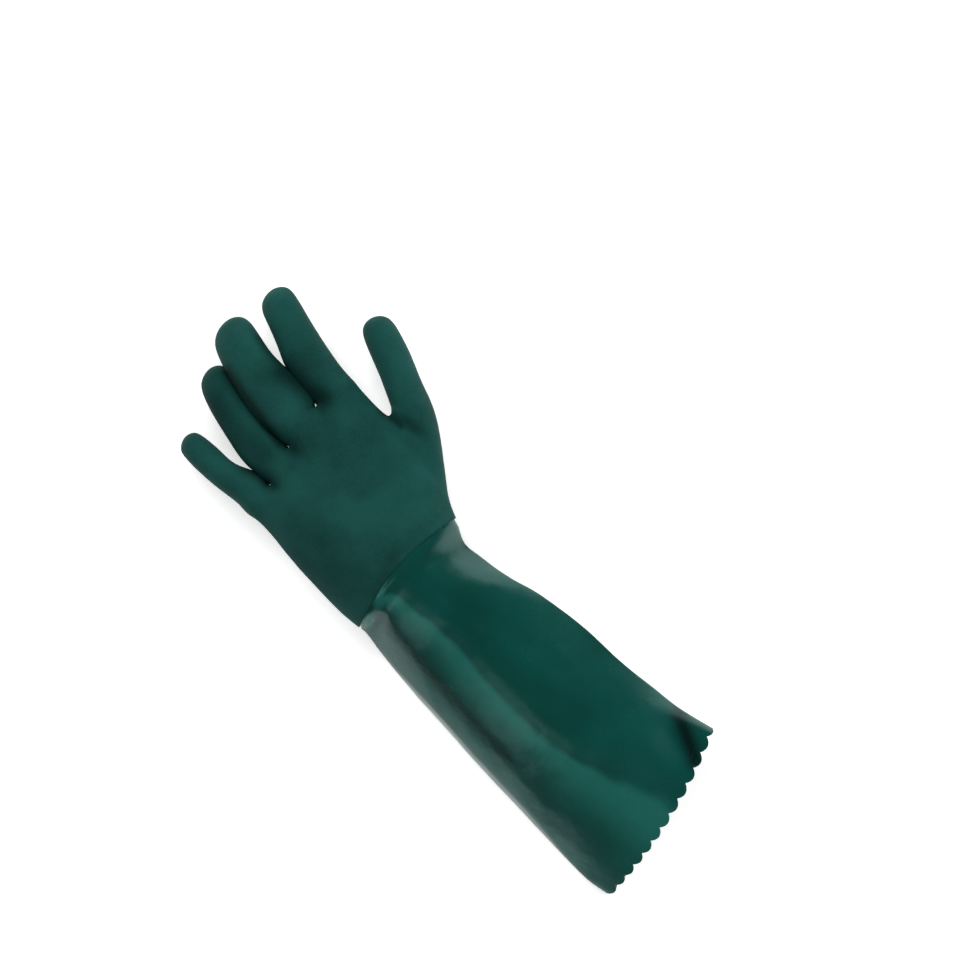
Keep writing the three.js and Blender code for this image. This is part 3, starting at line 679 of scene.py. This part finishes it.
class OBJECT_OT_glove_hand(bpy.types.Operator):
    """Model the rough coated hand with its fingers and thumb"""
    bl_idname = "object.glove_hand"
    bl_label = "Glove Hand"

    def execute(self, context):
        sizes = context.scene.glove_sizes
        fingers = [in_metres(row, sizes) for row in rows(FINGER_COLUMNS, FINGERS)]
        thumb = in_metres(rows(FINGER_COLUMNS, [THUMB])[0], sizes)
        deselect_all()
        bpy.ops.mesh.primitive_grid_add(
            x_subdivisions=COLUMN_COUNT - 1, y_subdivisions=2, size=sizes.palm_width,
            rotation=(math.pi / 2, 0.0, 0.0),
        )
        hand = context.object
        hand.name = "rough_coated_hand"
        bpy.ops.object.transform_apply()
        bpy.ops.object.mode_set(mode="EDIT")
        self.lay_out_knuckles(hand.data, sizes, fingers)
        self.grow_palm(hand.data, sizes, fingers)
        for number, finger in enumerate(fingers):
            grow_finger(hand.data, number, finger)
        self.mark_thumb(hand.data, len(fingers))
        grow_finger(hand.data, len(fingers), thumb, [THUMB_BASE_SECTION])
        bpy.ops.mesh.select_all(action="SELECT")
        bpy.ops.mesh.normals_make_consistent(inside=False)
        bpy.ops.object.mode_set(mode="OBJECT")
        fit_cage(hand.data)
        finish_modifier("SUBSURF", levels=3, render_levels=3, use_limit_surface=True)
        folds = rows(FOLD_COLUMNS, HAND_FOLDS)
        wrinkle(hand.data, folds, sizes.palm_length, sizes.palm_width, sizes.palm_depth)
        # painted shade between the fingers and on the back of the hand
        painted_shades = rows(PAINTED_SHADE_COLUMNS, HAND_PAINTED_SHADE)
        mark_painted_shade(hand.data, painted_shades, sizes.palm_length, sizes.palm_width)
        finish_modifier("SOLIDIFY", thickness=sizes.hand_wall, offset=-1.0, use_even_offset=True)
        bpy.ops.object.shade_smooth()
        hand.data.transform(Matrix.Translation(EDGE_MIDDLE))
        hand.data.materials.append(rough_pvc(context.scene.glove_colours))
        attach(hand, "root")
        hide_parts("hand")
        return {"FINISHED"}

    def lay_out_knuckles(self, mesh, sizes, fingers):
        """Puts the grid's vertices at the roots of the fingers and numbers them."""
        edited = bmesh.from_edit_mesh(mesh)
        column = edited.verts.layers.int.new("column")
        place = edited.verts.layers.int.new("place")
        section = edited.verts.layers.int.new("section")
        xs = sorted({round(vertex.co.x, 6) for vertex in edited.verts})
        zs = sorted({round(vertex.co.z, 6) for vertex in edited.verts})
        # the columns go round the hand: over the top, down the thumb's side, back underneath and up
        thumb_side = COLUMN_COUNT
        little_side = 2 * COLUMN_COUNT + 1
        for vertex in edited.verts:
            k = xs.index(round(vertex.co.x, 6))
            row = zs.index(round(vertex.co.z, 6))
            finger = fingers[k // 3]
            spot = GRID_PLACES[(k % 3, row)]
            across = Vector((1.0, finger.slope, 0.0))
            vertex[place] = k // 3 * PER_FINGER + spot
            vertex[section] = len(PALM_SECTIONS)
            vertex[column] = {2: k, 1: thumb_side if k else little_side, 0: 2 * COLUMN_COUNT - k}[row]
            vertex.co = finger_place(finger.root, across, finger.root_width, finger.depth, spot)
        bmesh.update_edit_mesh(mesh)

    def grow_palm(self, mesh, sizes, fingers):
        """Extrudes the edge of the knuckles back through the palm's sections to the wrist."""
        in_line = []
        for finger in fingers:
            side = CORNER * finger.root_width / 2
            in_line += [finger.root.x - side, finger.root.x, finger.root.x + side]
        select_only(mesh, "EDGE", lambda edge: edge.is_boundary)
        for number in reversed(range(len(PALM_ROWS))):
            row = PALM_ROWS[number]
            station = palm_station(sizes, row)
            even = [-math.cos(math.pi * (k + 1) / (COLUMN_COUNT + 1)) for k in range(COLUMN_COUNT)]
            straight = [(x - station.middle) / station.half for x in in_line]
            across = [mix(a, b, row.fan) for a, b in zip(even, straight)]
            ring = [section_point(station, a, True) for a in across]
            ring.append(section_point(station, 1.0, True))
            ring += [section_point(station, a, False) for a in reversed(across)]
            ring.append(section_point(station, -1.0, True))

            def place(edited, vertex):
                vertex.co = ring[vertex[edited.verts.layers.int["column"]]]
                vertex[edited.verts.layers.int["place"]] = NO_PLACE
                vertex[edited.verts.layers.int["section"]] = number

            extrude_onto(mesh, place)

    def mark_thumb(self, mesh, number):
        """Numbers the nine vertices on the palm's side that the thumb grows from."""
        edited = bmesh.from_edit_mesh(mesh)
        column = edited.verts.layers.int["column"]
        place = edited.verts.layers.int["place"]
        section = edited.verts.layers.int["section"]
        for vertex in edited.verts:
            ahead = 2 - (vertex[section] - THUMB_SECTION)
            up = COLUMN_COUNT + 1 - vertex[column]
            if vertex[place] == NO_PLACE and 0 <= ahead <= 2 and 0 <= up <= 2:
                vertex[place] = number * PER_FINGER + GRID_PLACES[(ahead, up)]
        bmesh.update_edit_mesh(mesh)


class OBJECT_OT_glove_sleeve(bpy.types.Operator):
    """Model the smooth gauntlet sleeve with its folds and its pinked cuff"""
    bl_idname = "object.glove_sleeve"
    bl_label = "Glove Sleeve"

    points_per_scallop: IntProperty(
        name="Points per Scallop", description="Points along each scallop's edge", default=8, min=3,
    )

    def execute(self, context):
        sizes = context.scene.glove_sizes
        count = sizes.scallops * self.points_per_scallop
        rings = self.rings(sizes, count)
        deselect_all()
        bpy.ops.mesh.primitive_circle_add(vertices=count, radius=sizes.wrist_width / 2)
        sleeve = context.object
        sleeve.name = "smooth_gauntlet_sleeve"
        bpy.ops.object.mode_set(mode="EDIT")
        edited = bmesh.from_edit_mesh(sleeve.data)
        column = edited.verts.layers.int.new("column")
        edited.verts.ensure_lookup_table()
        for i, vertex in enumerate(edited.verts):
            vertex[column] = i
            vertex.co = rings[0][i]
        bmesh.update_edit_mesh(sleeve.data)
        select_only(sleeve.data, "EDGE", lambda edge: True)
        for ring in rings[1:]:
            def place(edited, vertex):
                vertex.co = ring[vertex[edited.verts.layers.int["column"]]]

            extrude_onto(sleeve.data, place)
        bpy.ops.mesh.select_all(action="SELECT")
        bpy.ops.mesh.normals_make_consistent(inside=False)
        bpy.ops.object.mode_set(mode="OBJECT")
        wrinkle(sleeve.data)
        # painted shade in the sleeve's valley and at its corner
        painted_shades = rows(PAINTED_SHADE_COLUMNS, SLEEVE_PAINTED_SHADE)
        mark_painted_shade(sleeve.data, painted_shades, -sizes.sleeve_length, sizes.cuff_width)
        # painted highlight where the skin leans towards the little finger's side
        self.mark_painted_highlight(sleeve.data, sizes.sleeve_length)
        finish_modifier("SOLIDIFY", thickness=sizes.sleeve_wall, offset=-1.0, use_even_offset=True)
        bpy.ops.object.shade_smooth_by_angle(angle=math.radians(50))
        sleeve.data.transform(Matrix.Translation(EDGE_MIDDLE))
        sleeve.data.materials.append(smooth_pvc(context.scene.glove_colours))
        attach(sleeve, "root")
        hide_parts("gauntlet_sleeve")
        return {"FINISHED"}

    def rings(self, sizes, count):
        """The sleeve's rings, from its lapped end inside the hand to the pinked cuff."""
        folds = rows(FOLD_COLUMNS, SLEEVE_FOLDS)
        dents = rows(DENT_COLUMNS, SLEEVE_DENTS)
        stations = [sleeve_station(sizes, row) for row in reversed(SLEEVE_ROWS)]
        palm = [palm_station(sizes, row) for row in PALM_ROWS]
        under_coating = sizes.rim_wall + LAP_GAP
        made = [ring_round(smooth_row(palm, sizes.lap * share), count, under_coating + LAP_GAP)
                for share in LAP_RINGS]
        for i in range(SLEEVE_RING_COUNT + 1):
            along = (i / SLEEVE_RING_COUNT) ** RING_CROWDING
            station = smooth_row(stations, -along * sizes.sleeve_length)

            def lift(across):
                total = fold_lift(folds, along, across, sizes.cuff_depth)
                for dent in dents:
                    near = bell((along - dent.along) / dent.length)
                    near *= bell((across - dent.across) / dent.width)
                    total += dent.lift * sizes.cuff_depth * near
                return total

            inset = under_coating * (1 - smooth_step(along * sizes.sleeve_length, 0.0, LAP_FADE))
            made.append(ring_round(station, count, inset, lift))
        return self.pinked(made, sizes)

    def mark_painted_highlight(self, mesh, length):
        """Stores how much painted highlight each vertex has, from how its skin leans."""
        painted_highlight = mesh.attributes.new("painted_highlight", "FLOAT", "POINT")
        start, full, fade, end = PAINTED_HIGHLIGHT_LEANS
        widening_start, widening_end, widening = PAINTED_HIGHLIGHT_WIDENING
        for vertex, value in zip(mesh.vertices, painted_highlight.data):
            lean = -vertex.normal.x if vertex.normal.z > 0 else 0.0
            wider = widening * smooth_step(-vertex.co.y / length, widening_start, widening_end)
            rise = smooth_step(lean, start - wider, full - wider)
            value.value = rise * (1 - smooth_step(lean, fade, end))

    def pinked(self, rings, sizes):
        """Draws the last rings out into scallops."""
        before = rings[-SCALLOP_RING_COUNT - 1]
        for step in range(SCALLOP_RING_COUNT):
            ring = rings[-SCALLOP_RING_COUNT + step]
            share = ((step + 1) / SCALLOP_RING_COUNT) ** SCALLOP_LATENESS
            for i, point in enumerate(ring):
                wave = abs(math.sin(math.pi * i / self.points_per_scallop)) ** SCALLOP_FULLNESS
                outwards = (point - before[i]).normalized()
                ring[i] = point + outwards * (sizes.scallop_depth * share * wave)
        return rings


def add_node(material, kind, inputs=None, **settings):
    """Adds one node. inputs gives each socket a value, or another node's output to link to it."""
    node = material.node_tree.nodes.new(kind)
    for name, value in settings.items():
        setattr(node, name, value)
    for name, value in (inputs or {}).items():
        if isinstance(value, bpy.types.NodeSocket):
            material.node_tree.links.new(value, node.inputs[name])
        else:
            node.inputs[name].default_value = value
    return node


def new_material(name):
    """A material with only an output, for a shader to be linked to."""
    material = bpy.data.materials.new(name)
    material.use_nodes = True
    material.node_tree.nodes.clear()
    return material


def rough_pvc(colours):
    """PVC dipped a second time with grit in it: matte, with a sandy grain, cloudy colour and painted
    shade.
    """
    material = new_material("dipped_pvc_sandy_finish")
    place = add_node(material, "ShaderNodeTexCoord").outputs["Object"]
    # grit of under 1 mm, drawn at 1.1 mm so that the picture shows it
    grit = add_node(material, "ShaderNodeTexNoise", {"Vector": place, "Scale": 900.0, "Detail": 3.0})
    # clouds of about 45 mm, where the colour is a little lighter and darker
    clouds = add_node(material, "ShaderNodeTexNoise", {"Vector": place, "Scale": 22.0, "Detail": 4.0})
    cloud_share = add_node(
        material, "ShaderNodeMapRange",
        {"Value": clouds.outputs["Fac"], "From Min": 0.35, "From Max": 0.65},
    )
    cloudy = add_node(
        material, "ShaderNodeMix",
        {"Factor": cloud_share.outputs["Result"], "A": colours.rough_dark, "B": colours.rough_green},
        data_type="RGBA",
    )
    grain_share = add_node(
        material, "ShaderNodeMapRange",
        {"Value": grit.outputs["Fac"], "From Min": 0.5, "From Max": 0.75, "To Max": 0.2},
    )
    grainy = add_node(
        material, "ShaderNodeMix",
        {"Factor": grain_share.outputs["Result"], "A": cloudy.outputs["Result"],
         "B": colours.rough_light},
        data_type="RGBA",
    )
    # painted shade: the darker colour mixed in where shade falls
    painted_shade = add_node(material, "ShaderNodeAttribute", attribute_name="painted_shade")
    with_painted_shade = add_node(
        material, "ShaderNodeMix",
        {"Factor": painted_shade.outputs["Fac"], "A": grainy.outputs["Result"], "B": colours.rough_painted_shade},
        data_type="RGBA",
    )
    bump = add_node(
        material, "ShaderNodeBump",
        {"Height": grit.outputs["Fac"], "Distance": 0.0004, "Strength": 0.5},
    )
    shader = add_node(
        material, "ShaderNodeBsdfPrincipled",
        {"Base Color": with_painted_shade.outputs["Result"], "Roughness": 0.72, "IOR": 1.5,
         "Specular IOR Level": 0.12, "Normal": bump.outputs["Normal"]},
    )
    add_node(material, "ShaderNodeOutputMaterial", {"Surface": shader.outputs["BSDF"]})
    return material


def smooth_pvc(colours):
    """PVC dipped once and left smooth: a plasticised gloss over slightly uneven cloth, with a painted
    highlight and painted shade.
    """
    material = new_material("dipped_pvc_smooth_finish")
    place = add_node(material, "ShaderNodeTexCoord").outputs["Object"]
    # clouds of about 60 mm, where the colour and the gloss change a little
    clouds = add_node(material, "ShaderNodeTexNoise", {"Vector": place, "Scale": 16.0, "Detail": 4.0})
    cloud_share = add_node(
        material, "ShaderNodeMapRange",
        {"Value": clouds.outputs["Fac"], "From Min": 0.35, "From Max": 0.65},
    )
    cloudy = add_node(
        material, "ShaderNodeMix",
        {"Factor": cloud_share.outputs["Result"], "A": colours.smooth_dark, "B": colours.smooth_green},
        data_type="RGBA",
    )
    # painted highlight: a paler band mixed in where the skin leans towards the little finger's side
    painted_highlight = add_node(material, "ShaderNodeAttribute", attribute_name="painted_highlight")
    painted_highlight_share = add_node(
        material, "ShaderNodeMath", {0: painted_highlight.outputs["Fac"], 1: PAINTED_HIGHLIGHT_STRENGTH},
        operation="MULTIPLY",
    )
    with_painted_highlight = add_node(
        material, "ShaderNodeMix",
        {"Factor": painted_highlight_share.outputs["Value"], "A": cloudy.outputs["Result"],
         "B": colours.smooth_painted_highlight},
        data_type="RGBA",
    )
    # painted shade: the darker colour mixed in where shade falls
    painted_shade = add_node(material, "ShaderNodeAttribute", attribute_name="painted_shade")
    with_painted_shade = add_node(
        material, "ShaderNodeMix",
        {"Factor": painted_shade.outputs["Fac"], "A": with_painted_highlight.outputs["Result"], "B": colours.smooth_painted_shade},
        data_type="RGBA",
    )
    # dimples of about 2.4 mm, as cloth under a coating gives, and waves of about 14 mm
    dimples = add_node(material, "ShaderNodeTexNoise", {"Vector": place, "Scale": 420.0, "Detail": 2.0})
    waves = add_node(material, "ShaderNodeTexNoise", {"Vector": place, "Scale": 70.0, "Detail": 2.0})
    fine = add_node(
        material, "ShaderNodeBump",
        {"Height": dimples.outputs["Fac"], "Distance": 0.00012, "Strength": 0.35},
    )
    bump = add_node(
        material, "ShaderNodeBump",
        {"Height": waves.outputs["Fac"], "Distance": 0.0009, "Strength": 0.4,
         "Normal": fine.outputs["Normal"]},
    )
    gloss = add_node(
        material, "ShaderNodeMapRange",
        {"Value": clouds.outputs["Fac"], "From Min": 0.3, "From Max": 0.7,
         "To Min": 0.22, "To Max": 0.29},
    )
    shader = add_node(
        material, "ShaderNodeBsdfPrincipled",
        {"Base Color": with_painted_shade.outputs["Result"], "Roughness": gloss.outputs["Result"], "IOR": 1.53,
         "Specular IOR Level": 0.5, "Specular Tint": linear("#c4fff7"),
         "Normal": bump.outputs["Normal"]},
    )
    add_node(material, "ShaderNodeOutputMaterial", {"Surface": shader.outputs["BSDF"]})
    return material


def floor_board(colour_value):
    """Matt white acrylic sheet of a light table, which glows a little."""
    material = new_material("white_acrylic_light_table")
    shader = add_node(
        material, "ShaderNodeBsdfPrincipled",
        {"Base Color": colour_value, "Roughness": 0.9, "Specular IOR Level": 0.2,
         "Emission Color": colour_value, "Emission Strength": 0.5},
    )
    add_node(material, "ShaderNodeOutputMaterial", {"Surface": shader.outputs["BSDF"]})
    return material


class OBJECT_OT_glove_stage(bpy.types.Operator):
    """Set up the plain floor, the soft lights and the camera over the glove"""
    bl_idname = "object.glove_stage"
    bl_label = "Glove Stage"

    def execute(self, context):
        stage = context.scene.glove_stage
        deselect_all()
        bpy.ops.mesh.primitive_plane_add(size=FLOOR_SIZE, location=(0.0, 0.0, -FLOOR_GAP))
        floor = context.object
        floor.name = "floor"
        floor.data.materials.append(floor_board(stage.floor_colour))

        bpy.ops.object.camera_add(
            location=EDGE_MIDDLE + VIEW_MIDDLE + Vector((0.0, 0.0, stage.camera_height)),
            rotation=(0.0, 0.0, stage.turn),
        )
        camera = context.object
        camera.name = "camera_overhead"
        camera.data.sensor_width = SENSOR_WIDTH
        camera.data.lens = SENSOR_WIDTH * (stage.camera_height - VIEW_HEIGHT) / stage.view_width
        camera.data.clip_end = 20.0
        context.scene.camera = camera

        # Three soft boxes, beyond the fingertips, beyond the cuff and on the thumb's side, light the
        # glove and are hidden from its gloss. A narrow one on the little finger's side isn't, and
        # gives the sleeve its soft ridge of light.
        power = stage.light_power
        self.add_light("soft_light_fingers", (0.9, 2.9, 2.4), (2.6, 1.5), power * 0.7)
        self.add_light("soft_light_cuff", (-0.8, -2.8, 2.3), (2.6, 1.5), power * 0.35)
        self.add_light("key_light_thumb_side", (2.6, -0.8, 1.5), (1.6, 1.2), power * 0.24)
        for light in context.scene.objects:
            if light.type == "LIGHT":
                light.visible_glossy = False
        self.add_light("strip_light_little_side", (-1.5, -0.2, 1.5), (0.3, 2.6), power * 0.021)
        world = context.scene.world or bpy.data.worlds.new("studio")
        context.scene.world = world
        world.use_nodes = True
        background = world.node_tree.nodes["Background"]
        background.inputs["Color"].default_value = linear("#f4faff")
        background.inputs["Strength"].default_value = 0.06
        context.scene.view_settings.view_transform = "Standard"
        return {"FINISHED"}

    def add_light(self, name, place, spread, power):
        """Adds an area light that faces the glove."""
        bpy.ops.object.light_add(type="AREA", location=place)
        light = bpy.context.object
        light.name = name
        light.rotation_euler = (-Vector(place)).to_track_quat("-Z", "Y").to_euler()
        light.data.shape = "RECTANGLE"
        light.data.size, light.data.size_y = spread
        light.data.energy = power


class VIEW3D_PT_glove(bpy.types.Panel):
    """Sizes, colours and pieces of the glove"""
    bl_label = "Work Glove"
    bl_idname = "VIEW3D_PT_glove"
    bl_space_type = "VIEW_3D"
    bl_region_type = "UI"
    bl_category = "Glove"

    def draw(self, context):
        layout = self.layout
        scene = context.scene
        for settings in (scene.glove_sizes, scene.glove_colours, scene.glove_stage):
            box = layout.box()
            for name in settings.bl_rna.properties.keys():
                if name not in ("rna_type", "name"):
                    box.prop(settings, name)
        for operator in ("object.glove_hand", "object.glove_sleeve", "object.glove_stage"):
            layout.operator(operator)


CLASSES = (
    GloveSizes, GloveColours, GloveStage, OBJECT_OT_glove_hand, OBJECT_OT_glove_sleeve,
    OBJECT_OT_glove_stage, VIEW3D_PT_glove,
)


def register():
    """Registers the classes and gives the scene the glove's settings."""
    for cls in CLASSES:
        bpy.utils.register_class(cls)
    bpy.types.Scene.glove_sizes = PointerProperty(type=GloveSizes)
    bpy.types.Scene.glove_colours = PointerProperty(type=GloveColours)
    bpy.types.Scene.glove_stage = PointerProperty(type=GloveStage)


def unregister():
    """Takes the settings and the classes out again."""
    del bpy.types.Scene.glove_stage
    del bpy.types.Scene.glove_colours
    del bpy.types.Scene.glove_sizes
    for cls in reversed(CLASSES):
        bpy.utils.unregister_class(cls)


def main():
    """Models the glove and its stage."""
    register()
    bpy.ops.object.glove_hand()
    bpy.ops.object.glove_sleeve()
    bpy.ops.object.glove_stage()


if __name__ == "__main__":
    main()
